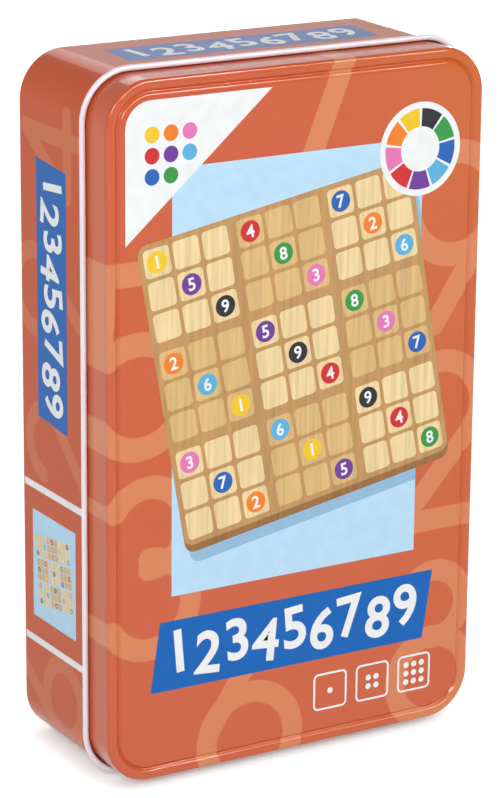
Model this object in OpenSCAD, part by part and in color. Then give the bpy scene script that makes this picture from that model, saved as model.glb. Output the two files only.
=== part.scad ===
// A travel sudoku set. A printed tin with a lift-off lid holds a wooden board in three sections,
// which magnets join side by side, and the eighty-one numbered pegs that stand in its holes.
// The closed tin stands on one short end: +Z runs up its long side and the lid faces -Y.
// Two sections lie side by side in the tray, the third lies on the first one's pegs.

/* [Board] */
// Distance between neighbouring peg holes
hole_pitch = 17.2; // [15:0.1:19]
// Diameter of a peg hole
hole_d = 9.3; // [7:0.1:10.5]
// Depth of a peg hole
hole_depth = 5; // [3:0.1:6.5]
// Bevel round the mouth of a peg hole
hole_bevel = 0.4; // [0.2:0.1:0.8]
// Thickness of the board
board_t = 8; // [7:0.1:11]
// Wood beyond the squares at the left, right and top edges
edge_margin = 6.4; // [5:0.1:10]
// Wood beyond the squares at the foot of the board
foot_margin = 12.8; // [6:0.1:18]
// Radius of the board's four outer corners
board_corner_r = 5; // [2:0.1:6]
// Bevel along the long top edges of a section
board_bevel = 0.5; // [0.2:0.1:1]
// Width of an engraved line
line_w = 0.6; // [0.4:0.1:1]
// Depth of an engraved line
line_depth = 0.3; // [0.2:0.1:0.8]
// Distance of an engraved line from the edge of its block of nine squares
line_inset = 1.2; // [0.8:0.1:2]

/* [Pegs] */
// Height of a peg above the board
peg_proud = 8; // [6:0.1:11]
// Play between a peg and its hole, on the radius
peg_clear = 0.15; // [0.1:0.05:0.3]
// Bevel on both ends of a peg
peg_bevel = 0.7; // [0.3:0.1:1.2]

/* [Magnets] */
// Diameter of a magnet
magnet_d = 5; // [3:0.1:6]
// Length of a magnet
magnet_l = 3; // [2:0.1:4]
// Glue gap around a magnet, on the radius
magnet_clear = 0.05; // [0.02:0.01:0.1]

/* [Tray] */
// Thickness of the tray's plastic sheet
tray_t = 0.5; // [0.4:0.05:0.8]
// Play around the boards in the tray's well
tray_clear = 0.4; // [0.2:0.05:0.8]
// Width of the tray's ledge along its long sides
side_ledge = 3.4; // [3:0.1:8]
// Width of the tray's ledge at its short ends
end_ledge = 9.8; // [8.4:0.1:16]
// Radius of the well's corners
well_corner_r = 0.6; // [0.3:0.1:0.9]
// Radius of a finger notch
notch_r = 7; // [4:0.1:7.5]
// Play between the tray's ledge and the tin
tray_fit = 0.2; // [0.1:0.05:0.4]

/* [Tin] */
// Thickness of the tinplate
sheet_t = 0.3; // [0.2:0.05:0.4]
// Outside radius of the tin's long corners
corner_r = 13; // [11:0.5:17]
// Outside diameter of the curl on the tin's rim
curl_d = 1.6; // [1.2:0.1:2.4]
// Width of the lip that is folded in round the back
lip_w = 2.2; // [1.5:0.1:3.2]
// Play between the back panel and the wall
panel_clear = 0.1; // [0.05:0.05:0.2]
// Height of the step pressed into the back panel
step_h = 0.6; // [0.4:0.1:1]
// Flat border of the back panel, outside its step
step_border = 4; // [3:0.1:8]

/* [Lid] */
// Height of the lid's face above the middle of the rim curl
lid_stand = 11.2; // [8:0.1:12]
// Depth of the lid below the middle of the rim curl
lid_plug = 8; // [5:0.1:9.5]
// Play between the lid's side and the tin's wall
lid_clear = 0.2; // [0.15:0.05:0.3]
// How much rounder the lid's corners are than a fit all round would make them
lid_corner_ease = 0.5; // [0.2:0.1:1]
// Outside diameter of the hem rolled inwards at the lid's lower edge
hem_d = 1.2; // [1:0.1:1.6]
// Outside radius of the lid's edge
lid_edge_r = 1.1; // [0.8:0.1:1.5]
// Width of the flat band between the lid's edge and its groove
band_w = 1.1; // [0.8:0.1:2]
// Width of the groove round the lid's face
groove_w = 2.2; // [1.5:0.1:3]
// Depth of the groove round the lid's face
groove_depth = 0.8; // [0.4:0.1:1.2]
// Free height between the upper pegs and the lid
headroom = 13.7; // [12.6:0.1:20]

/* [Hidden] */
// Gap between pieces that rest on each other
rest_gap = 0.1;
// How far a cut runs past the surface that it opens
overrun = 0.5;
// Facets of a full turn, and of an arc in a sheet's section
$fn = 64;
arc_steps = 12;
groove_steps = 10;

// Counts
squares = 9;
block = 3;
sections = ["left", "middle", "right"];
// Angle at which the rim curl's free edge stops, and at which the hem's starts, measured from outward
curl_end = -115;
hem_start = -250;

// Board sizes
block_w = block * hole_pitch;
outer_w = block_w + edge_margin;
section_l = squares * hole_pitch + edge_margin + foot_margin;
peg_d = hole_d - 2 * peg_clear;
peg_l = hole_depth - rest_gap + peg_proud;
// Magnets sit one square from the ends of the squares, at half the thickness
magnet_y = [foot_margin + hole_pitch, foot_margin + (squares - 1) * hole_pitch];

// Tray and tin sizes, from the boards outwards
well_w = outer_w + block_w + 2 * tray_clear;
well_l = section_l + 2 * tray_clear;
inside_w = well_w + 2 * side_ledge;
inside_h = well_l + 2 * end_ledge;
tin_w = inside_w + 2 * sheet_t;
tin_h = inside_h + 2 * sheet_t;
curl_r = curl_d / 2;
curl_out = curl_d - sheet_t;

// Levels above the outside of the back, towards the lid
panel_z = sheet_t;
tray_z = panel_z + sheet_t + step_h + rest_gap;
lower_z = tray_z + tray_t + rest_gap;
upper_z = lower_z + board_t + peg_proud + rest_gap;
lid_inside_z = upper_z + board_t + peg_proud + headroom;
tin_d = lid_inside_z + sheet_t;
rim_z = tin_d - lid_stand;
hem_z = rim_z - lid_plug;
ledge_z = hem_z - rest_gap;

// Places of the sections in the well: each section's left foot corner, and its level
left_x = tray_clear - well_w / 2;
middle_x = left_x + outer_w;
foot_y = tray_clear - well_l / 2;

// Lid sizes
lid_inset = sheet_t + lid_clear;
lid_w = tin_w - 2 * lid_inset;
lid_h = tin_h - 2 * lid_inset;
lid_r = corner_r - lid_inset + lid_corner_ease;
hem_r = hem_d / 2;
groove_u = -lid_edge_r - band_w;
lid_panel_u = groove_u - groove_w - band_w;

// Peg colours in the order of their numbers
peg_colours = ["gold", "darkorange", "hotpink", "crimson", "rebeccapurple",
    "lightskyblue", "royalblue", "seagreen", "dimgray"];

// Points on an arc about c, from angle a to angle b
function arc(c, r, a, b) =
    [for (i = [0:arc_steps]) c + r * [cos(a + (b - a) * i / arc_steps), sin(a + (b - a) * i / arc_steps)]];

function unit(v) = v / norm(v);
function right_of(v) = [v[1], -v[0]];

// The point of a sheet's far face across from point i of its path
function across(path, i, t) =
    let (last = len(path) - 1,
        before = right_of(unit(path[max(i, 1)] - path[max(i, 1) - 1])),
        after = right_of(unit(path[min(i, last - 1) + 1] - path[min(i, last - 1)])),
        middle = unit(before + after))
    path[i] + middle * t / (middle * before);

// Section of a sheet of thickness t that lies to the right of a path
function sheet_section(path, t) =
    concat(path, [for (i = [len(path) - 1:-1:0]) across(path, i, t)]);

// The digit of a square in the solved grid that the pegs are stored in
function digit(row, column) =
    (block * (row % block) + floor(row / block) + column) % squares + 1;

// Stands a piece that is drawn on its back up on its short end
module stand() {
    translate([0, tin_d / 2, tin_h / 2 + curl_out]) rotate([90, 0, 0]) children();
}

module rounded_rect(w, h, r) {
    square([w - 2 * r, h], center = true);
    square([w, h - 2 * r], center = true);
    for (x = [-1, 1], y = [-1, 1]) translate([x * (w / 2 - r), y * (h / 2 - r)]) circle(r);
}

// Runs a section round a rounded rectangle. The section's X is the way out from the outline.
module run_round(w, h, r) {
    for (side = [0:3]) {
        wide = side % 2 == 0 ? w : h;
        long = side % 2 == 0 ? h : w;
        rotate(90 * side) {
            translate([wide / 2, long / 2 - r, 0])
                rotate([90, 0, 0]) linear_extrude(long - 2 * r) children();
            translate([wide / 2 - r, long / 2 - r, 0])
                rotate_extrude(angle = 90) translate([r, 0]) children();
        }
    }
}

// Tin wall: a lip folded in round the back, the side, and a curl rolled outwards at the rim
module tin_wall() {
    inner_face = concat(
        [[-lip_w, sheet_t], [-sheet_t, sheet_t]],
        arc([curl_r - sheet_t, rim_z], curl_r, 180, curl_end));
    color("peru") stand() run_round(tin_w, tin_h, corner_r)
        polygon(sheet_section(inner_face, sheet_t));
}

// Back panel: lies on the lip, with a shallow step pressed in to stiffen it
module back_panel() {
    edge_u = -panel_clear;
    step_u = -step_border;
    middle_u = step_u - step_h - sheet_t;
    outer_face = [[edge_u, panel_z], [step_u, panel_z], [step_u - step_h, panel_z + step_h],
        [middle_u, panel_z + step_h]];
    color("lightsteelblue") stand() {
        run_round(inside_w, inside_h, corner_r - sheet_t) polygon(sheet_section(outer_face, sheet_t));
        translate([0, 0, panel_z + step_h]) linear_extrude(sheet_t)
            rounded_rect(inside_w + 2 * middle_u, inside_h + 2 * middle_u, corner_r - sheet_t + middle_u);
    }
}

// Outline of the tray's well with its finger notches, grown by a wall
module well_outline(grow) {
    rounded_rect(well_w + 2 * grow, well_l + 2 * grow, well_corner_r + grow);
    for (x = [left_x + outer_w / 2, middle_x + block_w / 2], y = [-well_l / 2, well_l / 2])
        translate([x, y]) circle(notch_r + grow);
}

// Tray: a formed sheet with a well for the boards and a ledge that the lid's hem comes down on
module tray() {
    color("whitesmoke") stand() translate([0, 0, tray_z]) {
        linear_extrude(tray_t) well_outline(tray_t);
        linear_extrude(ledge_z - tray_z) difference() {
            well_outline(tray_t);
            well_outline(0);
        }
        translate([0, 0, ledge_z - tray_z - tray_t]) linear_extrude(tray_t) difference() {
            rounded_rect(inside_w - 2 * tray_fit, inside_h - 2 * tray_fit, corner_r - sheet_t - tray_fit);
            well_outline(0);
        }
    }
}

// Lid: a hem rolled inwards, the side that slides down the wall, a rounded edge and a groove round the face
module lid() {
    inner_z = tin_d - sheet_t;
    groove = [for (i = [0:groove_steps])
        [groove_u - groove_w * i / groove_steps,
            inner_z - groove_depth * (1 - cos(360 * i / groove_steps)) / 2]];
    inner_face = concat(
        arc([-hem_r, hem_z + hem_r], hem_r - sheet_t, hem_start, 0),
        arc([-lid_edge_r, tin_d - lid_edge_r], lid_edge_r - sheet_t, 0, 90),
        groove,
        [[lid_panel_u, inner_z]]);
    color("orangered") stand() {
        run_round(lid_w, lid_h, lid_r) polygon(sheet_section(inner_face, sheet_t));
        translate([0, 0, inner_z]) linear_extrude(sheet_t)
            rounded_rect(lid_w + 2 * lid_panel_u, lid_h + 2 * lid_panel_u, lid_r + lid_panel_u);
    }
}

// Where section number s lies in the tin: the left and middle ones below, the right one on top
module stowed(s) {
    stand() translate([s == 1 ? middle_x : left_x, foot_y, s == 2 ? upper_z : lower_z]) children();
}

// Width of section number s, and the wood left of its squares
function section_w(s) = s == 1 ? block_w : outer_w;
function squares_x(s) = s == 0 ? edge_margin : 0;

// Outline of a section: square where it joins a neighbour, rounded at the board's outer corners
module section_outline(s) {
    w = section_w(s);
    r = board_corner_r;
    if (s == 1)
        square([w, section_l]);
    else {
        outer_side = s == 0 ? 0 : w - r;
        translate([outer_side, r]) square([r, section_l - 2 * r]);
        translate([s == 0 ? r : 0, 0]) square([w - r, section_l]);
        for (y = [r, section_l - r]) translate([s == 0 ? r : w - r, y]) circle(r);
    }
}

// Engraved lines: a frame round all the squares and a pair between blocks
module engraved_lines(s) {
    from_x = squares_x(s);
    top_y = foot_margin + squares * hole_pitch;
    start_x = s == 0 ? from_x + line_inset : from_x;
    end_x = s == 2 ? block_w - line_inset : from_x + block_w;
    // A line that reaches a joint runs off the section there
    left_run = s == 0 ? 0 : overrun;
    right_run = s == 2 ? 0 : overrun;
    for (b = [0:block], side = [-1, 1]) {
        y = foot_margin + b * block_w + side * line_inset;
        if (y > foot_margin && y < top_y)
            translate([start_x - left_run, y - line_w / 2, 0])
                cube([end_x - start_x + left_run + right_run, line_w, line_depth + overrun]);
    }
    for (x = [from_x + line_inset, from_x + block_w - line_inset])
        translate([x - line_w / 2, foot_margin + line_inset - line_w / 2, 0])
            cube([line_w, squares * hole_pitch - 2 * line_inset + line_w, line_depth + overrun]);
}

// Centres of a section's squares that take a peg with digit n, or of all of them when n is 0
module at_squares(s, n = 0) {
    for (row = [0:squares - 1], c = [0:block - 1])
        if (n == 0 || digit(row, s * block + c) == n)
            translate([squares_x(s) + c * hole_pitch + hole_pitch / 2,
                foot_margin + (squares - row) * hole_pitch - hole_pitch / 2, 0]) children();
}

// The joining edges of a section that hold magnets, drawn with the way into the wood along +X
module at_magnets(s) {
    w = section_w(s);
    for (y = magnet_y) {
        if (s > 0) translate([0, y, board_t / 2]) rotate([0, 90, 0]) children();
        if (s < 2) translate([w, y, board_t / 2]) rotate([0, -90, 0]) children();
    }
}

// One board section: wood with peg holes, engraved lines and magnet pockets in its joining edges
module board(s) {
    w = section_w(s);
    color("burlywood") stowed(s) difference() {
        linear_extrude(board_t) section_outline(s);
        translate([0, 0, board_t - hole_depth]) at_squares(s)
            cylinder(d = hole_d, h = hole_depth + overrun);
        translate([0, 0, board_t - hole_bevel]) at_squares(s)
            cylinder(d1 = hole_d, d2 = hole_d + 2 * (hole_bevel + overrun), h = hole_bevel + overrun);
        translate([0, 0, board_t - line_depth]) engraved_lines(s);
        at_magnets(s) translate([0, 0, -overrun])
            cylinder(d = magnet_d + 2 * magnet_clear, h = magnet_l + overrun);
        for (x = [0, w]) translate([x, -overrun, board_t]) rotate([-90, 0, 0])
            linear_extrude(section_l + 2 * overrun)
                polygon([[0, board_bevel], [board_bevel + overrun, -overrun],
                    [-board_bevel - overrun, -overrun]]);
    }
}

// Magnets of one section, flush with its joining edges
module magnets(s) {
    color("silver") stowed(s) at_magnets(s) cylinder(d = magnet_d, h = magnet_l);
}

// One peg, bevelled at both ends
module peg() {
    r = peg_d / 2;
    rotate_extrude() polygon([[0, 0], [r - peg_bevel, 0], [r, peg_bevel], [r, peg_l - peg_bevel],
        [r - peg_bevel, peg_l], [0, peg_l]]);
}

// The three pegs with digit n that stand in one section
module pegs(s, n) {
    color(peg_colours[n - 1]) stowed(s)
        translate([0, 0, board_t - hole_depth + rest_gap]) at_squares(s, n) peg();
}

tin_wall();
back_panel();
tray();
lid();
for (s = [0:len(sections) - 1]) {
    board(s);
    magnets(s);
    for (n = [1:squares])
        pegs(s, n);
}
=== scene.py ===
"""Looks of a travel sudoku set: a printed tin with a lift-off lid, a wooden board in three
sections and its numbered pegs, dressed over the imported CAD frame. Lengths are in metres, apart
from the layout of the print, which is in millimetres."""
import math

import bmesh
import bpy
from mathutils import Matrix, Quaternion, Vector


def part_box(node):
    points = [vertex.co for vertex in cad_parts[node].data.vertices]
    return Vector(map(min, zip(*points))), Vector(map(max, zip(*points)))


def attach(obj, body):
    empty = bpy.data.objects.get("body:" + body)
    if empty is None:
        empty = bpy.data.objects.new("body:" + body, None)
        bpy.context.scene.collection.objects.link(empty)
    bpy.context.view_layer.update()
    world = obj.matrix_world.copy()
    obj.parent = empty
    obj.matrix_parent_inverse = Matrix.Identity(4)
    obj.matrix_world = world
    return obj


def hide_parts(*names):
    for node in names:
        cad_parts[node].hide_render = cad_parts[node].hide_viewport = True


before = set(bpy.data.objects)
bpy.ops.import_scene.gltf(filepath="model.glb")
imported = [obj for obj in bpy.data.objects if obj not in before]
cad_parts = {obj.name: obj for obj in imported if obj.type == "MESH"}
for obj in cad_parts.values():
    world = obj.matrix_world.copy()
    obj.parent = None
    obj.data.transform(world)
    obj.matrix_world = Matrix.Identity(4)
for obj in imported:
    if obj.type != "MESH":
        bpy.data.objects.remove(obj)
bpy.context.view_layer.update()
MM = 0.001

# Counts of the game
SQUARES = 9
BLOCK = 3
DIGITS = range(1, SQUARES + 1)
SECTIONS = ("left", "middle", "right")

# Sheet metal, as in the CAD, with angles in degrees
SHEET = 0.3 * MM
CURL_D = 1.6 * MM
CURL_END = -115
CORNER_R = 13 * MM
LIP_W = 2.2 * MM
FOLD_R = 0.5 * MM
PANEL_CLEAR = 0.1 * MM
STEP_H = 0.6 * MM
STEP_BORDER = 4 * MM
LID_CLEAR = 0.2 * MM
LID_CORNER_EASE = 0.5 * MM
LID_EDGE_R = 1.1 * MM
BAND_W = 1.1 * MM
GROOVE_W = 2.2 * MM
GROOVE_DEPTH = 0.8 * MM
HEM_D = 1.2 * MM
HEM_START = -250

# Tray and pegs, as in the CAD
TRAY_T = 0.5 * MM
TRAY_CLEAR = 0.4 * MM
TRAY_FIT = 0.2 * MM
WELL_R = 0.6 * MM
NOTCH_R = 7 * MM
PEG_BEVEL = 0.7 * MM

# Bends of the tray's sheet, and the short flats that keep the shading even beside a bend
TRAY_BEND = 0.8 * MM
TRAY_FILLET = 0.35 * MM
SUPPORT = 0.25 * MM
# Least radius of the well's corners, on the inside of a bend
WELL_LEAST_R = SUPPORT / 5

# Places and sizes read from the frame
WALL_LOW, WALL_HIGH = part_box("tin_wall")
LID_LOW, LID_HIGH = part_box("lid")
CURL_R = CURL_D / 2
CURL_OUT = CURL_D - SHEET
TIN_W = WALL_HIGH.x - WALL_LOW.x - 2 * CURL_OUT
TIN_H = WALL_HIGH.z - WALL_LOW.z - 2 * CURL_OUT
MID_Z = (WALL_LOW.z + WALL_HIGH.z) / 2
BACK_Y = WALL_HIGH.y
DEPTH = BACK_Y - LID_LOW.y
RIM = BACK_Y - WALL_LOW.y - CURL_R
HEM = BACK_Y - LID_HIGH.y
LID_INSET = SHEET + LID_CLEAR
LID_W = TIN_W - 2 * LID_INSET
LID_H = TIN_H - 2 * LID_INSET
LID_R = CORNER_R - LID_INSET + LID_CORNER_EASE
HEM_R = HEM_D / 2
GROOVE_U = -LID_EDGE_R - BAND_W
PANEL_U = GROOVE_U - GROOVE_W - BAND_W
# Middle of the wall's printed width, above the back
WALL_MIDDLE = RIM / 2 - CURL_R / 2

# Board squares, read from the frame
BOARD_BOX = {s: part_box(f"board_{s}") for s in SECTIONS}
PITCH = (BOARD_BOX["middle"][1].x - BOARD_BOX["middle"][0].x) / BLOCK
EDGE_MARGIN = BOARD_BOX["left"][1].x - BOARD_BOX["left"][0].x - BLOCK * PITCH
SECTION_L = BOARD_BOX["left"][1].z - BOARD_BOX["left"][0].z
FOOT_MARGIN = SECTION_L - SQUARES * PITCH - EDGE_MARGIN

# Tray, read from the frame
TRAY_LOW, TRAY_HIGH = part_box("tray")
TRAY_FLOOR = BACK_Y - TRAY_HIGH.y + TRAY_T
LEDGE = BACK_Y - TRAY_LOW.y
LEDGE_W = TRAY_HIGH.x - TRAY_LOW.x
LEDGE_H = TRAY_HIGH.z - TRAY_LOW.z
LEDGE_R = CORNER_R - SHEET - TRAY_FIT
WELL_W = BOARD_BOX["middle"][1].x - BOARD_BOX["left"][0].x + 2 * TRAY_CLEAR
WELL_L = SECTION_L + 2 * TRAY_CLEAR
NOTCHES = [(BOARD_BOX[s][0].x + BOARD_BOX[s][1].x) / 2 for s in ("left", "middle")]

# Print colours in sRGB, 0 to 255
GROUND = (200, 90, 54)
GROUND_HIGH = (199, 83, 44)
# A warm tint for the ground's random drift and for its painted warm reflection in the upper right corner
GROUND_WARM_TINT_AND_REFLECTION = (199, 97, 32)
GROUND_LIGHT = (211, 124, 80)
# White coating, with a lavender tint painted in as the red lid's reflection
COATING_AND_REFLECTED_TINT = (236, 228, 237)
INK_COLOURS = {"blue": (14, 98, 180), "pale_blue": (184, 217, 240), "white": (236, 236, 236),
               "shade": (146, 184, 212)}
TILE_COLOURS = {"tile_light": (240, 212, 160), "tile_dark": (222, 184, 124), "board_edge": (196, 150, 96),
                "board_side": (158, 112, 66)}
NINE_COLOURS = [(240, 196, 40), (236, 128, 40), (226, 118, 178), (206, 48, 50), (112, 62, 152),
                (92, 172, 216), (44, 98, 180), (58, 150, 72), (48, 48, 54)]

# Colours of the wood, the pegs' stamped digits, the magnets and the tray, in sRGB
WOOD_PALE = (236, 205, 152)
WOOD_MID = (222, 182, 122)
WOOD_DARK = (196, 148, 88)
WOOD_PORE = (150, 104, 58)
WOOD_BURNT = (58, 34, 18)
WOOD_SHADE = (150, 106, 62)
STAMP_DEEP = (232, 231, 228)
STAMP_PALE = (248, 248, 246)
NICKEL_DEEP = (188, 188, 190)
NICKEL_PALE = (222, 222, 224)
PLASTIC_DEEP = (226, 227, 228)
PLASTIC_PALE = (240, 240, 240)


def linear(colour, share=1):
    """An sRGB colour, 0 to 255, as linear RGBA with a share of its light."""
    def one(value):
        value /= 255
        return value / 12.92 if value <= 0.04045 else ((value + 0.055) / 1.055) ** 2.4
    return (*[one(value) * share for value in colour], 1.0)


# Node building

class Graph:
    """The node tree of a material or a world, with short calls for its nodes."""

    def __init__(self, name, kind=None, shader="Principled BSDF"):
        self.owner = (bpy.data.materials if kind is None else kind).new(name)
        self.owner.use_nodes = True
        self.tree = self.owner.node_tree
        self.shader = self.tree.nodes[shader]

    def node(self, kind):
        return self.tree.nodes.new(kind)

    def put(self, socket, value):
        """Links an input to another socket, or sets it to a plain value."""
        if isinstance(value, bpy.types.NodeSocket):
            self.tree.links.new(value, socket)
        else:
            socket.default_value = value

    def math(self, operation, first, second=0.0, third=0.0, clamp=False):
        node = self.node("ShaderNodeMath")
        node.operation = operation
        node.use_clamp = clamp
        for socket, value in zip(node.inputs, (first, second, third)):
            self.put(socket, value)
        return node.outputs[0]

    def mix(self, share, first, second):
        """A share of the way from one colour to another."""
        node = self.node("ShaderNodeMix")
        node.data_type = "RGBA"
        self.put(node.inputs[0], share)
        self.put(node.inputs[6], first)
        self.put(node.inputs[7], second)
        return node.outputs[2]

    def fit(self, value, low, high, to_low=0, to_high=1):
        """Maps a value from one range to another, held at both ends."""
        node = self.node("ShaderNodeMapRange")
        for socket, part in zip(node.inputs, (value, low, high, to_low, to_high)):
            self.put(socket, part)
        return node.outputs[0]

    def blend(self, share, low, high):
        """A share of the way from one number to another."""
        return self.fit(share, 0, 1, low, high)

    def place(self):
        """Object coordinates, which stay with the piece when it moves."""
        return self.node("ShaderNodeTexCoord").outputs["Object"]

    def split(self, vector):
        node = self.node("ShaderNodeSeparateXYZ")
        self.put(node.inputs[0], vector)
        return node.outputs

    def noise(self, scale, detail=3, roughness=0.5, vector=None):
        """Noise over the piece, or over another vector."""
        node = self.node("ShaderNodeTexNoise")
        self.put(node.inputs["Vector"], self.place() if vector is None else vector)
        node.inputs["Scale"].default_value = scale
        node.inputs["Detail"].default_value = detail
        node.inputs["Roughness"].default_value = roughness
        return node.outputs[0]

    def cloud(self, scale, detail=3, low=0.3, high=0.7):
        """Noise whose middle values, from low to high, are spread from 0 to 1."""
        return self.fit(self.noise(scale, detail), low, high)

    def grain(self, scales, detail, roughness=0.5):
        """Noise over the piece with a scale of its own along each axis."""
        node = self.node("ShaderNodeMapping")
        self.put(node.inputs["Vector"], self.place())
        node.inputs["Scale"].default_value = scales
        return self.noise(1.0, detail, roughness, node.outputs[0])

    def bump(self, height, strength, distance):
        node = self.node("ShaderNodeBump")
        node.inputs["Strength"].default_value = strength
        node.inputs["Distance"].default_value = distance
        self.put(node.inputs["Height"], height)
        return node.outputs[0]

    def finish(self, colour, roughness, normal=None, **constants):
        """Sets the shader: colour, roughness and normal may be linked, the rest are constants."""
        self.put(self.shader.inputs["Base Color"], colour)
        self.put(self.shader.inputs["Roughness"], roughness)
        if normal is not None:
            self.put(self.shader.inputs["Normal"], normal)
        for key, value in constants.items():
            self.shader.inputs[key.replace("_", " ")].default_value = value
        return self.owner


# Share of the lacquer's gloss coat on the lid and on the rest of the print
LID_GLOSS = 0.7
WALL_GLOSS = 0.28


def lacquer(graph, colour, gloss):
    """Finishes a material as gloss print lacquer on tinplate, with a trace of orange peel."""
    peel = graph.bump(graph.noise(scale=1400, detail=1), strength=0.04, distance=0.05 * MM)
    roughness = graph.blend(graph.cloud(scale=60, detail=4), low=0.2, high=0.28)
    return graph.finish(colour, roughness, peel, Specular_IOR_Level=0.03, Coat_Weight=gloss,
                        Coat_Roughness=0.04)


# Giant digits of the ground pattern

# Strokes in a box one unit high: a line's two ends, or an arc's centre, radius, middle angle and half reach
DIGIT_STROKES = {
    2: [((0, 0.22), 0.28, 67, 103), ((0.23, 0.06), (-0.28, -0.5)),
        ((-0.28, -0.5), (0.3, -0.5))],
    3: [((0, 0.25), 0.25, 30, 120), ((0, -0.22), 0.28, -30, 120)],
    4: [((0.12, -0.5), (0.12, 0.5)), ((0.12, 0.5), (-0.32, -0.2)),
        ((-0.32, -0.2), (0.32, -0.2))],
    5: [((0.26, 0.5), (-0.2, 0.5)), ((-0.2, 0.5), (-0.24, 0.02)),
        ((0, -0.2), 0.3, -10, 140)],
    6: [((0, -0.2), 0.3, 0, 180), ((-0.29, -0.12), (0.12, 0.5))],
    7: [((-0.3, 0.5), (0.3, 0.5)), ((0.3, 0.5), (-0.1, -0.5))],
    8: [((0, 0.25), 0.22, 0, 180), ((0, -0.23), 0.27, 0, 180)],
    9: [((0, 0.2), 0.3, 0, 180), ((0.29, 0.12), (-0.12, -0.5))],
}
# Digit, its centre from the middle of the face, and its height, in millimetres
LID_DIGITS = [(7, (4, 84), 46), (9, (50, 44), 48), (5, (-49, 22), 48), (2, (47, -14), 46),
              (3, (-46, -36), 46), (6, (-14, -82), 46), (8, (46, -74), 46)]
SIDE_DIGITS = [(4, (2, 74), 34), (9, (-3, 34), 36), (2, (3, -8), 34), (6, (-2, -80), 34)]
# Turn of the digits on the sides, the share of their ink, and how far round the corners they reach
SIDE_TURN = 90
SIDE_INK = 0.55
SIDE_EDGE = 1.5 * MM
# Width of a stroke as a share of the digit's height, and of its soft edge
GIANT_STROKE = 0.14
STROKE_SOFT = 0.15 * MM
# How much the ground warms in its upper right corner, as a painted warm reflection, and where its tint drifts
CORNER_REFLECTION = 0.8
DRIFT_WARM = 0.22


def length(graph, x, y):
    """Length of a way x across and y up."""
    return graph.math("SQRT", graph.math("MULTIPLY_ADD", x, x, graph.math("MULTIPLY", y, y)))


def seen_from(graph, x, y, centre, turn, unit=1.0):
    """A point seen from a centre, along axes turned by some degrees and in a unit."""
    cos = math.cos(math.radians(turn)) / unit
    sin = math.sin(math.radians(turn)) / unit
    off_x = graph.math("SUBTRACT", x, centre[0])
    off_y = graph.math("SUBTRACT", y, centre[1])
    ahead = graph.math("MULTIPLY_ADD", off_x, cos, graph.math("MULTIPLY", off_y, sin))
    aside = graph.math("MULTIPLY_ADD", off_y, cos, graph.math("MULTIPLY", off_x, -sin))
    return ahead, aside


def line_distance(graph, x, y, start, end):
    """Distance of a point from a straight stroke."""
    run_x, run_y = end[0] - start[0], end[1] - start[1]
    run = math.hypot(run_x, run_y)
    ahead, aside = seen_from(graph, x, y, start, math.degrees(math.atan2(run_y, run_x)))
    over = graph.math("SUBTRACT", ahead, graph.fit(ahead, 0, run, 0, run))
    return length(graph, over, aside)


def arc_distance(graph, x, y, centre, radius, middle, half):
    """Distance of a point from an arc that reaches half degrees to both sides of its middle angle."""
    ahead, aside = seen_from(graph, x, y, centre, middle)
    angle = graph.math("ABSOLUTE", graph.math("ARCTAN2", aside, ahead))
    angle = graph.math("MINIMUM", angle, math.radians(half))
    miss_ahead = graph.math("MULTIPLY_ADD", graph.math("COSINE", angle), -radius, ahead)
    miss_aside = graph.math("MULTIPLY_ADD", graph.math("SINE", angle), -radius, graph.math("ABSOLUTE", aside))
    return length(graph, miss_ahead, miss_aside)


def giant_digits(graph, x, y, digits, turn):
    """Share of the giant digits' ink at a point: 1 inside their strokes and 0 outside."""
    share = 0.0
    for digit, (right, up), height in digits:
        seen = seen_from(graph, x, y, (right * MM, up * MM), turn, height * MM)
        nearest = 1.0
        for stroke in DIGIT_STROKES[digit]:
            measure = line_distance if len(stroke) == 2 else arc_distance
            nearest = graph.math("MINIMUM", nearest, measure(graph, *seen, *stroke))
        soft = STROKE_SOFT / (height * MM)
        ink = graph.fit(nearest, GIANT_STROKE / 2 + soft, GIANT_STROKE / 2 - soft)
        share = graph.math("MAXIMUM", share, ink)
    return share


def ground_colour(graph, light):
    """The orange ground with a tint that drifts a little, a painted warm reflection in its upper right
    corner, and a share of the giant digits' lighter ink.
    """
    x, _, z = graph.split(graph.place())
    rise = graph.fit(z, MID_Z - TIN_H / 2, MID_Z + TIN_H / 2)
    aside = graph.fit(x, 0, TIN_W / 2)
    drift = graph.cloud(scale=9, detail=2, low=0.35, high=0.65)
    ground = graph.mix(rise, linear(GROUND), linear(GROUND_HIGH))
    # Painted warm reflection, strongest in the upper right corner
    corner = graph.math("MULTIPLY", graph.math("MULTIPLY", rise, aside), CORNER_REFLECTION)
    warm_tint_and_reflection = graph.math("MULTIPLY_ADD", drift, DRIFT_WARM, corner, clamp=True)
    ground = graph.mix(warm_tint_and_reflection, ground, linear(GROUND_WARM_TINT_AND_REFLECTION))
    return graph.mix(light, ground, linear(GROUND_LIGHT))


def lid_ground():
    """Print on the lid, seen along the lid's own facing."""
    graph = Graph("lid_ground")
    x, _, z = graph.split(graph.place())
    up = graph.math("SUBTRACT", z, MID_Z)
    share = giant_digits(graph, x, up, LID_DIGITS, 0)
    return lacquer(graph, ground_colour(graph, share), LID_GLOSS)


def wall_ground():
    """Print on the tin's wall: the same digits on both long sides, each reading from its own side."""
    graph = Graph("wall_ground")
    x, y, z = graph.split(graph.place())
    up = graph.math("SUBTRACT", z, MID_Z)
    right = graph.math("MULTIPLY", graph.math("SUBTRACT", y, BACK_Y - RIM / 2), graph.math("SIGN", x))
    share = graph.math("MULTIPLY", giant_digits(graph, right, up, SIDE_DIGITS, SIDE_TURN), SIDE_INK)
    on_side = graph.math("GREATER_THAN", graph.math("ABSOLUTE", x), TIN_W / 2 - SIDE_EDGE)
    share = graph.math("MULTIPLY", share, on_side)
    return lacquer(graph, ground_colour(graph, share), WALL_GLOSS)


# Other materials

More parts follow.
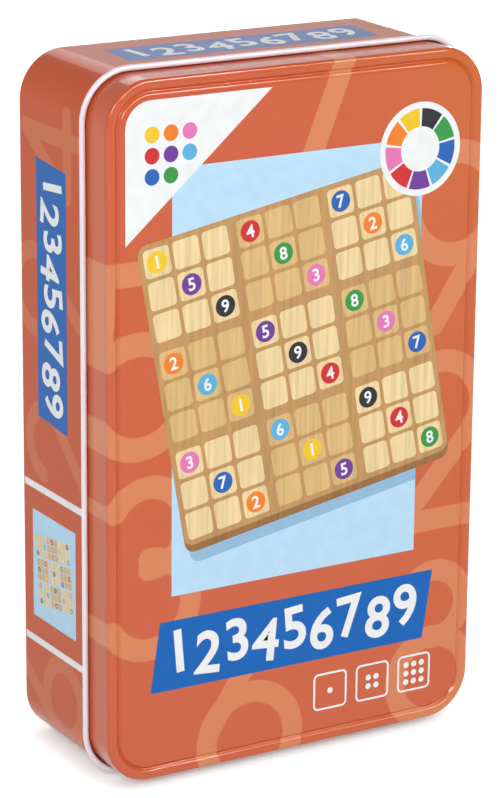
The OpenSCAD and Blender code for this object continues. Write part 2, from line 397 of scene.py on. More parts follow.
def flat_ink(name, colour):
    """One flat print colour under the same lacquer, mottled as print on tinplate is."""
    graph = Graph(f"ink_{name}")
    mottle = graph.cloud(scale=260)
    return lacquer(graph, graph.mix(mottle, linear(colour, share=0.94), linear(colour)), WALL_GLOSS)


def tile_ink(name, colour):
    """Print of pale wood, with fine grain lines along the tin."""
    graph = Graph(f"ink_{name}")
    grain = graph.fit(graph.grain((900, 900, 40), detail=4), 0.35, 0.7)
    return lacquer(graph, graph.mix(grain, linear(colour), linear(colour, share=0.8)), WALL_GLOSS)


def white_lacquer():
    """White lacquer inside the tin and on the curl, with a cool lavender tint that is a painted reflection of
    the red lid, and a trace of orange peel.
    """
    graph = Graph("white_lacquer")
    cloud = graph.cloud(scale=40)
    colour = graph.mix(cloud, linear(COATING_AND_REFLECTED_TINT, share=0.95), linear(COATING_AND_REFLECTED_TINT))
    peel = graph.bump(graph.noise(scale=1200, detail=2), strength=0.05, distance=0.1 * MM)
    return graph.finish(colour, graph.blend(cloud, 0.25, 0.34), peel, Coat_Weight=0.3, Coat_Roughness=0.1)


# Depths below a section's top between which a level face is the floor of a burnt line
LINE_FLOOR = (0.22 * MM, 0.34 * MM)
# Depths between which a hole's sides take painted shade, and the depth that its floor lies above
HOLE_SHADE = (0.6 * MM, 5 * MM)
HOLE_FLOOR = 5.1 * MM
# Growth rings: turn of their wave per metre across the section, and how far noise bends it
RING_RATE = 500.0
RING_WARP = 26.0


def wood(name, top_y):
    """Pale beech with growth rings and pores along the section, darker where lines are burnt in, with painted
    shade down the holes' sides.
    """
    graph = Graph(name)
    x, y, _ = graph.split(graph.place())
    warp = graph.grain((60, 60, 6), detail=3)
    ring = graph.math("MULTIPLY_ADD", warp, RING_WARP, graph.math("MULTIPLY", x, RING_RATE))
    ring = graph.math("SINE", ring)
    fibre = graph.grain((1400, 1400, 45), detail=5, roughness=0.6)
    pore = graph.grain((2600, 2600, 130), detail=2)
    colour = graph.mix(graph.fit(ring, -1, 1, 0.0, 0.55), linear(WOOD_PALE), linear(WOOD_MID))
    colour = graph.mix(graph.fit(fibre, 0.4, 0.75, 0.0, 0.5), colour, linear(WOOD_DARK))
    colour = graph.mix(graph.fit(pore, 0.66, 0.74, 0.0, 0.35), colour, linear(WOOD_PORE))
    depth = graph.math("SUBTRACT", y, top_y)
    facing = graph.split(graph.node("ShaderNodeNewGeometry").outputs["Normal"])[1]
    level = graph.math("GREATER_THAN", graph.math("ABSOLUTE", facing), 0.9)
    burnt = graph.math("MULTIPLY", graph.math("GREATER_THAN", depth, LINE_FLOOR[0]),
                       graph.math("LESS_THAN", depth, LINE_FLOOR[1]))
    burnt = graph.math("MULTIPLY", burnt, level)
    colour = graph.mix(graph.math("MULTIPLY", burnt, 0.85), colour, linear(WOOD_BURNT))
    # Painted shade down the holes' sides, deepening with depth
    shade = graph.math("MULTIPLY", graph.fit(depth, *HOLE_SHADE, 0.0, 0.4),
                       graph.math("LESS_THAN", depth, HOLE_FLOOR))
    colour = graph.mix(shade, colour, linear(WOOD_SHADE))
    relief = graph.bump(fibre, strength=0.12, distance=0.15 * MM)
    return graph.finish(colour, graph.fit(fibre, 0.3, 0.7, 0.42, 0.55), relief, Coat_Weight=0.15,
                        Coat_Roughness=0.25)


def peg_paint(digit):
    """Satin paint on a turned wooden peg, with a trace of the turning."""
    graph = Graph(f"peg_paint_{digit}")
    base = NINE_COLOURS[digit - 1]
    cloud = graph.cloud(scale=420)
    turning = graph.bump(graph.grain((120, 2200, 120), detail=2), strength=0.06, distance=0.1 * MM)
    return graph.finish(graph.mix(cloud, linear(base, share=0.82), linear(base)),
                        graph.blend(cloud, 0.3, 0.42), turning, Coat_Weight=0.35, Coat_Roughness=0.18)


def peg_white():
    """White stamped ink on the pegs."""
    graph = Graph("peg_white")
    cloud = graph.cloud(scale=1500, low=0.25, high=0.75)
    colour = graph.mix(cloud, linear(STAMP_DEEP), linear(STAMP_PALE))
    return graph.finish(colour, graph.blend(cloud, 0.4, 0.5))


def magnet_metal():
    """Nickel plate with fine scuffs."""
    graph = Graph("magnet_metal")
    scuff = graph.grain((300, 4000, 4000), detail=3)
    colour = graph.mix(scuff, linear(NICKEL_DEEP), linear(NICKEL_PALE))
    return graph.finish(colour, graph.fit(scuff, 0.3, 0.7, 0.16, 0.3), Metallic=1)


def tray_plastic():
    """Satin white formed plastic."""
    graph = Graph("tray_plastic")
    cloud = graph.cloud(scale=30)
    colour = graph.mix(cloud, linear(PLASTIC_DEEP), linear(PLASTIC_PALE))
    grain = graph.bump(graph.noise(scale=1600, detail=2), strength=0.08, distance=0.1 * MM)
    return graph.finish(colour, graph.blend(cloud, 0.36, 0.46), grain)


# Mesh building

# Ways across the standing tin, in from its lid and up
RIGHT = Vector((1, 0, 0))
INWARD = Vector((0, 1, 0))
UP = Vector((0, 0, 1))
# Signs of a rectangle's corners, counterclockwise
CORNERS = [(1, 1), (-1, 1), (-1, -1), (1, -1)]
# Facets of a sheet's corner, and the widest angles between faces that are shaded as one, in degrees
CORNER_STEPS = 20
SHEET_SMOOTH = 40
PEG_SMOOTH = 50


def stand(x, depth, up):
    """A point given across the tin, above its back and up from its middle."""
    return Vector((x, BACK_Y - depth, MID_Z + up))


def arc(centre, radius, start, end, steps):
    """Points on an arc of a section, from one angle to another in degrees."""
    turns = [math.radians(start + (end - start) * i / steps) for i in range(steps + 1)]
    return [(centre[0] + radius * math.cos(t), centre[1] + radius * math.sin(t)) for t in turns]


def wave(share):
    """Rises smoothly from 0 to 1, and falls back to 0 at a share of 2."""
    return (1 - math.cos(math.pi * share)) / 2


def across(path, thickness):
    """The far face of a sheet that lies to the right of a path."""
    points = [Vector(p) for p in path]
    steps = [(b - a).normalized() for a, b in zip(points, points[1:])]
    sides = [Vector((s.y, -s.x)) for s in steps]
    far = []
    for i, point in enumerate(points):
        before = sides[max(i - 1, 0)]
        after = sides[min(i, len(sides) - 1)]
        middle = (before + after).normalized()
        far.append(tuple(point + middle * thickness / middle.dot(before)))
    return far


def box_outline(width, height, radius=0, steps=5):
    """A rectangle about the origin, with rounded corners if it has a radius."""
    points = []
    for corner, (sx, sy) in enumerate(CORNERS):
        centre = (sx * (width / 2 - radius), sy * (height / 2 - radius))
        points += arc(centre, radius, 90 * corner, 90 * corner + 90, steps) if radius else [centre]
    return points


def ring_faces(first, second):
    """Faces between two rings of as many points."""
    return zip(first, first[1:] + first[:1], second[1:] + second[:1], second)


def add_skin(mesh, places, closed, tags):
    """Joins rings of as many points into one surface. tags gives the material of each step between rings.
    An open row of rings gets a flat cap at each end."""
    rings = [[mesh.verts.new(point) for point in ring] for ring in places]
    pairs = list(zip(rings, rings[1:]))
    if closed:
        pairs.append((rings[-1], rings[0]))
    for pair, tag in zip(pairs, tags):
        for face in ring_faces(*pair):
            mesh.faces.new(face).material_index = tag
    if not closed:
        mesh.faces.new(rings[0]).material_index = tags[0]
        mesh.faces.new(list(reversed(rings[-1]))).material_index = tags[-1]


def skinned(name, places, closed, materials, tags):
    """One piece of sheet, joined from rings."""
    mesh = bmesh.new()
    add_skin(mesh, places, closed, tags)
    bmesh.ops.recalc_face_normals(mesh, faces=mesh.faces)
    return make_piece(name, mesh, materials, smooth=SHEET_SMOOTH)


def swept(name, width, height, radius, section, closed, materials, tags):
    """Sweeps a section, given outwards and above the back, round a rounded rectangle."""
    rings = []
    for u, depth in section:
        outline = box_outline(width + 2 * u, height + 2 * u, radius + u, CORNER_STEPS)
        rings.append([stand(x, depth, y) for x, y in outline])
    return skinned(name, rings, closed, materials, tags)


def make_piece(name, mesh, materials, smooth=None):
    """Turns a bmesh into an object, smooth up to an angle in degrees."""
    data = bpy.data.meshes.new(name)
    mesh.to_mesh(data)
    mesh.free()
    for material in materials:
        data.materials.append(material)
    if smooth is not None:
        for face in data.polygons:
            face.use_smooth = True
        data.set_sharp_from_angle(angle=math.radians(smooth))
    piece = bpy.data.objects.new(name, data)
    bpy.context.scene.collection.objects.link(piece)
    return piece


# Tin, lid and tray

def make_tin_wall(print_material, white):
    """The wall with its lip and curl. The curl shows the inside of the sheet, which is white."""
    path = [(-LIP_W, SHEET), (-FOLD_R - SUPPORT, SHEET)]
    path += arc((-FOLD_R, FOLD_R), FOLD_R - SHEET, -90, 0, steps=5)
    path += [(-SHEET, FOLD_R + SUPPORT), (-SHEET, RIM - SUPPORT)]
    path += arc((CURL_R - SHEET, RIM), CURL_R, 180, CURL_END, steps=28)
    section = path + list(reversed(across(path, SHEET)))
    count = len(path)
    tags = [1] * count + [0] * (count - 1) + [1]
    piece = swept("tin_wall_sheet", TIN_W, TIN_H, CORNER_R, section, True, [print_material, white], tags)
    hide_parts("tin_wall")
    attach(piece, "tin")


def make_back_panel(print_material, white):
    """The back, white inside, with a shallow step pressed in to stiffen it."""
    run = 2 * STEP_H
    start = -STEP_BORDER + run / 2
    steps = 10
    path = [(-PANEL_CLEAR, SHEET), (start, SHEET)]
    for i in range(1, steps + 1):
        path.append((start - run * i / steps, SHEET + STEP_H * wave(i / steps)))
    path.append((start - run - SUPPORT, SHEET + STEP_H))
    # From the middle of the outside round the edge to the middle of the inside
    section = list(reversed(path)) + across(path, SHEET)
    count = len(path)
    tags = [0] * (count - 1) + [1] * count
    piece = swept("back_panel_sheet", TIN_W - 2 * SHEET, TIN_H - 2 * SHEET, CORNER_R - SHEET, section,
                  False, [print_material, white], tags)
    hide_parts("back_panel")
    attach(piece, "tin")


def make_lid(print_material, white):
    """The drawn lid: hem, side, rounded edge, band, groove and panel."""
    inner = DEPTH - SHEET
    path = arc((-HEM_R, HEM + HEM_R), HEM_R - SHEET, HEM_START, 0, steps=16)
    path += [(-SHEET, HEM + HEM_R + SUPPORT), (-SHEET, DEPTH - LID_EDGE_R - SUPPORT)]
    path += arc((-LID_EDGE_R, DEPTH - LID_EDGE_R), LID_EDGE_R - SHEET, 0, 90, steps=10)
    path.append((-LID_EDGE_R - SUPPORT, inner))
    steps = 16
    for i in range(steps + 1):
        share = i / steps
        path.append((GROOVE_U - GROOVE_W * share, inner - GROOVE_DEPTH * wave(2 * share)))
    path += [(PANEL_U, inner), (PANEL_U - SUPPORT, inner)]
    # From the panel's inside round the hem to the panel's outside
    section = list(reversed(path)) + across(path, SHEET)
    count = len(path)
    tags = [1] * count + [0] * (count - 1)
    piece = swept("lid_sheet", LID_W, LID_H, LID_R, section, False, [print_material, white], tags)
    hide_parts("lid")
    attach(piece, "lid")


def well_ring(reach):
    """Points round the tray's well with its finger notches, grown by a reach."""
    half_w, half_l = WELL_W / 2, WELL_L / 2
    radius = max(WELL_R + reach, WELL_LEAST_R)
    notch = NOTCH_R + reach
    # Where the notch's circle meets the line of the end
    dip = math.degrees(math.asin(reach / notch))
    open_half = notch * math.cos(math.radians(dip))
    bend_y = LEDGE_H / 2 - LEDGE_R
    steps = 8
    points = []
    for side in (1, -1):
        start = 0 if side > 0 else 180
        line = side * (half_l + reach)
        first = (side * (half_w - WELL_R), side * (half_l - WELL_R))
        last = (-first[0], first[1])
        points += arc(first, radius, start, start + 90, steps=6)
        begin = first[0]
        for middle in sorted(NOTCHES, reverse=side > 0):
            end = middle + side * open_half
            points += [(begin + (end - begin) * i / steps, line) for i in range(1, steps)]
            points += arc((middle, side * half_l), notch, start + dip, start + 180 - dip, steps=16)
            begin = middle - side * open_half
        points += [(begin + (last[0] - begin) * i / steps, line) for i in range(1, steps)]
        points += arc(last, radius, start + 90, start + 180, steps=6)
        points += [(-side * (half_w + reach), side * bend_y), (-side * (half_w + reach), -side * bend_y)]
    return points


def ledge_edge(x, y):
    """The point of the tray's outer edge that is nearest to a point of its well."""
    half_w, half_h = LEDGE_W / 2, LEDGE_H / 2
    over_x = abs(x) - half_w + LEDGE_R
    over_y = abs(y) - half_h + LEDGE_R
    if over_x > 0 and over_y > 0:
        scale = LEDGE_R / math.hypot(over_x, over_y)
        return (math.copysign(half_w - LEDGE_R + over_x * scale, x),
                math.copysign(half_h - LEDGE_R + over_y * scale, y))
    if half_w - abs(x) < half_h - abs(y):
        return (math.copysign(half_w, x), y)
    return (x, math.copysign(half_h, y))


def make_tray(plastic):
    """The formed tray: a floor, walls with finger notches and a ledge, all bent from one sheet."""
    path = [(-TRAY_FILLET - SUPPORT, TRAY_FLOOR)]
    path += arc((-TRAY_FILLET, TRAY_FLOOR + TRAY_FILLET), TRAY_FILLET, -90, 0, steps=6)
    path += [(0, TRAY_FLOOR + TRAY_FILLET + SUPPORT), (0, LEDGE - TRAY_BEND - SUPPORT)]
    path += arc((TRAY_BEND, LEDGE - TRAY_BEND), TRAY_BEND, 180, 90, steps=8)
    path.append((TRAY_BEND + SUPPORT, LEDGE))
    edge = [ledge_edge(x, y) for x, y in well_ring(TRAY_BEND)]
    sheet = [(well_ring(u), depth) for u, depth in path] + [(edge, LEDGE), (edge, LEDGE - TRAY_T)]
    sheet += [(well_ring(u), depth) for u, depth in reversed(across(path, TRAY_T))]
    rings = [[stand(x, depth, y) for x, y in outline] for outline, depth in sheet]
    piece = skinned("tray_sheet", rings, False, [plastic], [0] * (len(rings) - 1))
    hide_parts("tray")
    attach(piece, "tray")


# Print on the flat faces, as thin layers of ink

INK_T = 0.012 * MM
# Height of an area's foot and of a digit's middle in their layer, and a digit's thickness, as shares of it
AREA_FOOT = 0.25
DIGIT_MIDDLE = 0.6
DIGIT_THICK = 0.6
# Weight added to the outlines of the digits, and points on each of their curves
GLYPH_WEIGHT = 0.022
GLYPH_STEPS = 6
GLYPHS = {}


def glyph(text):
    """Mesh of one digit, one unit tall, one thick and centred, as lists of points and faces."""
    if text not in GLYPHS:
        curve = bpy.data.curves.new("glyph", "FONT")
        curve.body = text
        curve.resolution_u = GLYPH_STEPS
        curve.offset = GLYPH_WEIGHT
        curve.extrude = 0.5
        holder = bpy.data.objects.new("glyph", curve)
        bpy.context.scene.collection.objects.link(holder)
        depsgraph = bpy.context.evaluated_depsgraph_get()
        data = holder.evaluated_get(depsgraph).to_mesh()
        points = [v.co.copy() for v in data.vertices]
        faces = [tuple(p.vertices) for p in data.polygons]
        low = [min(p[i] for p in points) for i in range(2)]
        high = [max(p[i] for p in points) for i in range(2)]
        tall = high[1] - low[1]
        mid_x, mid_y = (low[0] + high[0]) / 2, (low[1] + high[1]) / 2
        points = [Vector(((p.x - mid_x) / tall, (p.y - mid_y) / tall, p.z)) for p in points]
        GLYPHS[text] = (points, faces)
        bpy.data.objects.remove(holder)
        bpy.data.curves.remove(curve)
    return GLYPHS[text]


def turned(points, centre, angle):
    """Points turned about the origin by some degrees and then moved to a centre."""
    cos = math.cos(math.radians(angle))
    sin = math.sin(math.radians(angle))
    return [(centre[0] + x * cos - y * sin, centre[1] + x * sin + y * cos) for x, y in points]


class PrintSheet:
    """Print on one flat face. Places are in millimetres from the face's middle, right and up, and
    layers are counted from the face."""

    def __init__(self, name, inks, origin, right, up):
        self.name = name
        self.inks = inks
        self.used = []
        self.origin = origin
        self.right = right
        self.up = up
        self.out = right.cross(up)
        self.mesh = bmesh.new()

    def vert(self, x, y, layer):
        place = self.origin + self.right * x * MM + self.up * y * MM + self.out * (layer * INK_T)
        return self.mesh.verts.new(place)

    def index(self, ink):
        if ink not in self.used:
            self.used.append(ink)
        return self.used.index(ink)

    def area(self, ink, outline, centre=(0, 0), angle=0, layer=1):
        """A filled outline, drawn counterclockwise about the origin, turned and moved to a centre."""
        index = self.index(ink)
        points = turned(outline, centre, angle)
        top = [self.vert(x, y, layer) for x, y in points]
        foot = [self.vert(x, y, layer - 1 + AREA_FOOT) for x, y in points]
        for face in [top, list(reversed(foot)), *ring_faces(foot, top)]:
            self.mesh.faces.new(face).material_index = index

    def digit(self, number, centre, tall, angle=0, layer=1):
        """A white digit of a height, turned about its centre."""
        points, faces = glyph(str(number))
        index = self.index("white")
        places = turned([(tall * p.x, tall * p.y) for p in points], centre, angle)
        verts = [self.vert(x, y, layer - 1 + DIGIT_MIDDLE + DIGIT_THICK * p.z)
                 for (x, y), p in zip(places, points)]
        for face in faces:
            self.mesh.faces.new([verts[i] for i in face]).material_index = index

    def build(self, body):
        """The finished piece, on a body."""
        bmesh.ops.recalc_face_normals(self.mesh, faces=self.mesh.faces)
        piece = make_piece(self.name, self.mesh, [self.inks[ink] for ink in self.used])
        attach(piece, body)


def kept_between(points, low, high):
    """The part of a convex outline that lies between two upright lines."""
    for edge, sign in ((low, 1), (high, -1)):
        kept = []
        for (ax, ay), (bx, by) in zip(points, points[1:] + points[:1]):
            a_in, b_in = sign * (ax - edge) >= 0, sign * (bx - edge) >= 0
            if a_in:
                kept.append((ax, ay))
            if a_in != b_in:
                kept.append((edge, ay + (by - ay) * (edge - ax) / (bx - ax)))
        points = kept
    return points


def disc(radius, steps=32):
    """A round outline about the origin."""
    turns = [2 * math.pi * i / steps for i in range(steps)]
    return [(radius * math.cos(t), radius * math.sin(t)) for t in turns]


def solved_digit(row, column):
    """The digit of a square in the solved grid that the pegs are stored in."""
    return (BLOCK * (row % BLOCK) + row // BLOCK + column) % SQUARES + 1


# Steps along a tile grid's side, a tile and the gap between blocks as shares of a step
GRID_STEPS = 9.4
TILE_SHARE = 0.88
GAP_SHARE = 0.2
# A tile's corners, dot and digit as shares of it
TILE_R_SHARE = 0.14
DOT_SHARE = 0.38
DOT_DIGIT_SHARE = 0.46


def tile_grid(sheet, centre, side, angle, layer, shown):
    """A grid of tiles in blocks. shown says which squares have a coloured dot with its digit."""
    step = side / GRID_STEPS
    tile = step * TILE_SHARE
    gap = step * GAP_SHARE
    outline = box_outline(tile, tile, tile * TILE_R_SHARE, steps=3)
    dot = disc(tile * DOT_SHARE, steps=24)
    for row in range(SQUARES):
        for column in range(SQUARES):
            x = (column - SQUARES // 2) * step + (column // BLOCK - 1) * gap
            y = (SQUARES // 2 - row) * step + (1 - row // BLOCK) * gap
            at = turned([(x, y)], centre, angle)[0]
            tone = "dark" if (row // BLOCK + column // BLOCK) % 2 else "light"
            sheet.area(f"tile_{tone}", outline, at, angle, layer)
            if shown(row, column):
                number = solved_digit(row, column)
                sheet.area(number, dot, at, angle, layer + 1)
                sheet.digit(number, at, tile * DOT_DIGIT_SHARE, angle, layer + 2)


# Steps along a band of digits, a digit's height and its lift as shares of the width, its tilt in degrees
BAND_STEPS = 9.6
BAND_DIGIT_SHARE = 0.62
BAND_LIFT_SHARE = 0.05
BAND_TILT = 5


def digit_band(sheet, centre, long, wide, slant, angle=0, layer=1):
    """A blue band with the digits one to nine in white, which sway. Its short ends slant."""
    outline = [(sx * long / 2 + sy * slant, sy * wide / 2) for sx, sy in CORNERS]
    sheet.area("blue", outline, centre, angle, layer)
    for number in DIGITS:
        sway = 1 if number % 2 else -1
        place = ((number - 5) * long / BAND_STEPS, sway * BAND_LIFT_SHARE * wide)
        at = turned([place], centre, angle)[0]
        sheet.digit(number, at, wide * BAND_DIGIT_SHARE, angle + sway * BAND_TILT, layer + 1)


# Lid print: the pale field, and the tilted board on it with its tiles, rim, side and shadow
FIELD_SIZE = (78, 118)
FIELD_AT = (0, 14)
TILES_SIDE = 84
TILES_TILT = 10
BOARD_RIM = 1
BOARD_R = 3
BOARD_AT = (0, 18)
BOARD_SIDE_AT = (0.4, 16)
BOARD_SHADE_AT = (2, 13)


def print_board(sheet):
    """A tilted board of tiles on a pale field, with its side and its shadow."""
    half = FIELD_SIZE[0] / 2
    side = TILES_SIDE + 2 * BOARD_RIM
    board = box_outline(side, side, BOARD_R)
    sheet.area("pale_blue", box_outline(*FIELD_SIZE), FIELD_AT, layer=1)
    sheet.area("shade", kept_between(turned(board, BOARD_SHADE_AT, TILES_TILT), -half, half), layer=2)
    sheet.area("board_side", board, BOARD_SIDE_AT, TILES_TILT, layer=3)
    sheet.area("board_edge", board, BOARD_AT, TILES_TILT, layer=4)
    tile_grid(sheet, BOARD_AT, TILES_SIDE, TILES_TILT, layer=5,
              shown=lambda row, column: (row * 5 + column * 7) % 3 == 0)


# Lid print: reach of the white corner along the top and down, and place, pitch and size of its dots
CORNER_REACH = (44, 38)
DOTS_AT = (-45, 82.4)
DOT_PITCH = 5.6
DOT_R = 2.2


def print_corner(sheet):
    """A white corner of the lid's panel, cut off by a slanting line, with dots in the pegs' colours."""
    left = -(LID_W / 2 + PANEL_U) / MM
    top = (LID_H / 2 + PANEL_U) / MM
    radius = (LID_R + PANEL_U) / MM
    corner = arc((left + radius, top - radius), radius, 90, 180, steps=10)
    sheet.area("white", [(left + CORNER_REACH[0], top)] + corner + [(left, top - CORNER_REACH[1])], layer=2)
    # The ninth dot would lie across the slanting line
    for number in DIGITS[:-1]:
        row, column = divmod(number - 1, BLOCK)
        at = (DOTS_AT[0] + DOT_PITCH * column, DOTS_AT[1] - DOT_PITCH * row)
        sheet.area(number, disc(DOT_R), at, layer=3)


# Lid print: the badge, and the ring of colours on it with the ends of its first colour in degrees
BADGE_AT = (38, 70)
BADGE_R = 13
RING_OUTER_R = 11.2
RING_INNER_R = 6.2
RING_ENDS = (92, 128)


def print_badge(sheet):
    """A white disc with a ring of the pegs' colours."""
    sheet.area("white", disc(BADGE_R, steps=48), BADGE_AT, layer=8)
    for number in DIGITS:
        start, end = (360 / SQUARES * (number - 1) + angle for angle in RING_ENDS)
        outer = arc((0, 0), RING_OUTER_R, start, end, steps=8)
        inner = arc((0, 0), RING_INNER_R, end, start, steps=8)
        sheet.area(number, outer + inner, BADGE_AT, layer=9)


# Lid print: the three frames and the dots in them
FRAME_AT = (12, -82)
FRAME_PITCH = 14
FRAME_SIDE = 11
FRAME_R = 1.6
FRAME_LINE = 0.6
FRAME_DOT_PITCH = 2.6
FRAME_DOT_R = 0.9


def print_frames(sheet):
    """Three small frames, with one, four and nine dots."""
    inside = FRAME_SIDE - 2 * FRAME_LINE
    outer = box_outline(FRAME_SIDE, FRAME_SIDE, FRAME_R)
    inner = box_outline(inside, inside, FRAME_R - FRAME_LINE)
    for count in range(1, BLOCK + 1):
        at = (FRAME_AT[0] + FRAME_PITCH * (count - 1), FRAME_AT[1])
        for i in range(len(outer)):
            sheet.area("white", [outer[i - 1], outer[i], inner[i], inner[i - 1]], at, layer=2)
        places = [(i - (count - 1) / 2) * FRAME_DOT_PITCH for i in range(count)]
        for up in places:
            for right in places:
                sheet.area("white", disc(FRAME_DOT_R, steps=16), (at[0] + right, at[1] + up), layer=2)


def make_lid_print(inks):
    """The lid's print: a tilted tile grid on pale blue, a band of digits and small signs."""
    sheet = PrintSheet("lid_print_layers", inks, stand(0, DEPTH, 0), RIGHT, UP)
    print_board(sheet)
    digit_band(sheet, (0, -62), long=88, wide=20, slant=1.5, layer=2)
    print_corner(sheet)
    print_badge(sheet)
    print_frames(sheet)
    sheet.build("lid")


# Side print: the two white stripes, and the small grid on a pale field between them
STRIPES_UP = (-22, -67)
STRIPE_W = 2
SMALL_FIELD = (25, 31)
SMALL_GRID = 20
SMALL_TILT = 8


def make_side_print(inks, side):
    """Print on a long side: a band of digits above, a small grid between two white stripes below."""
    name = "left" if side < 0 else "right"
    sheet = PrintSheet(f"{name}_side_print", inks, stand(side * TIN_W / 2, WALL_MIDDLE, 0), INWARD * side, UP)
    wide = (RIM - CURL_D - 2 * FOLD_R) / MM
    between = (0, sum(STRIPES_UP) / 2)
    digit_band(sheet, (0, 34), long=72, wide=17, slant=0.8, angle=-90)
    for up in STRIPES_UP:
        sheet.area("white", box_outline(wide, STRIPE_W), (0, up))
    sheet.area("pale_blue", box_outline(*SMALL_FIELD), between)
    tile_grid(sheet, between, SMALL_GRID, SMALL_TILT, layer=2,
              shown=lambda row, column: (row * 2 + column * 5) % 4 == 0)
    sheet.build("tin")


def make_top_print(inks):
    """Print on the upper end: a short band of digits."""
    sheet = PrintSheet("top_print", inks, stand(0, WALL_MIDDLE, TIN_H / 2), RIGHT, INWARD)
    digit_band(sheet, (0, 0), long=78, wide=17, slant=0.8)
    sheet.build("tin")


# Back print: the grid's middle above the face's middle, its step, lines and digits
BACK_GRID_UP = 24
BACK_STEP = 9.6
THICK_LINE = 0.9
THIN_LINE = 0.4
BACK_DIGIT = 5


def make_back_print(inks):
    """Print on the back: a grid of white lines with a few digits, and a band of digits."""
    sheet = PrintSheet("back_print", inks, stand(0, SHEET + STEP_H, 0), -RIGHT, UP)
    long = SQUARES * BACK_STEP + THICK_LINE
    for i in range(SQUARES + 1):
        at = (i - SQUARES / 2) * BACK_STEP
        wide = THIN_LINE if i % BLOCK else THICK_LINE
        sheet.area("white", box_outline(wide, long), (at, BACK_GRID_UP), layer=1)
        sheet.area("white", box_outline(long, wide), (0, BACK_GRID_UP + at), layer=2)
    for row in range(SQUARES):
        for column in range(SQUARES):
            if (row * 7 + column * 4) % 5 == 0:
                at = ((column - SQUARES // 2) * BACK_STEP, BACK_GRID_UP + (SQUARES // 2 - row) * BACK_STEP)
                sheet.digit(solved_digit(row, column), at, BACK_DIGIT)
    digit_band(sheet, (0, -50), long=86, wide=16, slant=1.2)
    sheet.build("tin")


# Pegs

def peg_places(section, digit):
    """Centres of a section's squares with that digit, as x and z."""
    low, _ = BOARD_BOX[section]
    first = BLOCK * SECTIONS.index(section)
    start = low.x + (EDGE_MARGIN if section == "left" else 0)
    return [(start + (c + 0.5) * PITCH, low.z + FOOT_MARGIN + (SQUARES - 0.5 - row) * PITCH)
            for row in range(SQUARES) for c in range(BLOCK) if solved_digit(row, first + c) == digit]


PEG_BODY = {"left": "left_pegs", "middle": "middle_pegs", "right": "upper_pegs"}
PEG_R = min(x for x, _ in peg_places("left", 1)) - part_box("pegs_left_1")[0].x
# Facets round a peg and on its rounded edges, and the height of its digit in millimetres
PEG_STEPS = 40
PEG_EDGE_STEPS = 6
PEG_DIGIT = 5.2


def peg_profile(tall):
    """Radius and height of a peg's outline from its foot to its top, with rounded edges."""
    edge = arc((PEG_R - PEG_BEVEL, PEG_BEVEL), PEG_BEVEL, -90, 0, PEG_EDGE_STEPS)
    return edge + [(r, tall - h) for r, h in reversed(edge)]


def make_pegs(section, digit, paint):
    """The three pegs of one digit in a section, turned with rounded edges."""
    node = f"pegs_{section}_{digit}"
    low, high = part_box(node)
    foot = high.y
    profile = peg_profile(foot - low.y)
    mesh = bmesh.new()
    for x, z in peg_places(section, digit):
        rings = [[(x + dx, foot - h, z + dz) for dx, dz in disc(r, PEG_STEPS)] for r, h in profile]
        add_skin(mesh, rings, False, [0] * (len(rings) - 1))
    bmesh.ops.recalc_face_normals(mesh, faces=mesh.faces)
    piece = make_piece(f"{node}_turned", mesh, [paint], smooth=PEG_SMOOTH)
    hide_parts(node)
    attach(piece, PEG_BODY[section])


def make_peg_digits(section, white):
    """White digits on the tops of one section's pegs."""
    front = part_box(f"pegs_{section}_1")[0].y
    sheet = PrintSheet(f"peg_digits_{section}", {"white": white}, Vector((0, front, 0)), RIGHT, UP)
    for digit in DIGITS:
        for x, z in peg_places(section, digit):
            sheet.digit(digit, (x / MM, z / MM), PEG_DIGIT)
    piece = make_piece(sheet.name, sheet.mesh, [white])
    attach(piece, PEG_BODY[section])


# The whole object

def give(node, material):
    """Puts one material on a CAD node that keeps its own shape."""
    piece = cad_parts[node]
    piece.data.materials.clear()
    piece.data.materials.append(material)


def make_inks():
    """All the print colours: by name, and by number for those of the pegs."""
    inks = {name: flat_ink(name, colour) for name, colour in INK_COLOURS.items()}
    inks.update({name: tile_ink(name, colour) for name, colour in TILE_COLOURS.items()})
    inks.update({number: flat_ink(f"peg_{number}", NINE_COLOURS[number - 1]) for number in DIGITS})
    return inks


def make_object():
    """The tin with its print, the lid, the tray, the boards, the magnets and the pegs."""
    inks = make_inks()
    white = white_lacquer()
    wall = wall_ground()
    make_tin_wall(wall, white)
    make_lid(lid_ground(), white)
    make_lid_print(inks)
    make_side_print(inks, -1)
    make_side_print(inks, 1)
    make_top_print(inks)
    make_back_print(inks)
    make_back_panel(wall, white)
    make_tray(tray_plastic())
    nickel = magnet_metal()
    stamp = peg_white()
    paints = {digit: peg_paint(digit) for digit in DIGITS}
    for section in SECTIONS:
        give(f"board_{section}", wood(f"beech_{section}", BOARD_BOX[section][0].y))
        give(f"magnets_{section}", nickel)
        for digit in DIGITS:
            make_pegs(section, digit, paints[digit])
        make_peg_digits(section, stamp)


# Stage

FLOOR_SIDE = 8.0
FLOOR_DEEP = (0.76, 0.82, 0.83, 1)
FLOOR_PALE = (0.78, 0.84, 0.85, 1)
# Glow of the floor, close to the object and from a metre away
FLOOR_GLOW = (0.62, 0.67)
FLOOR_GLOW_REACH = (0.1, 1.0)
FLOOR_GLOW_COLOUR = (0.96, 1, 1, 1)
# How far from the object's foot the glow fades, and the share of it that stays in full shadow
FLOOR_SHADOW_REACH = 6 * MM
FLOOR_SHADOW_GLOW = 0.34
# Strength of the world's light
HORIZON_LIGHT = 1.0
ZENITH_LIGHT = 0.15
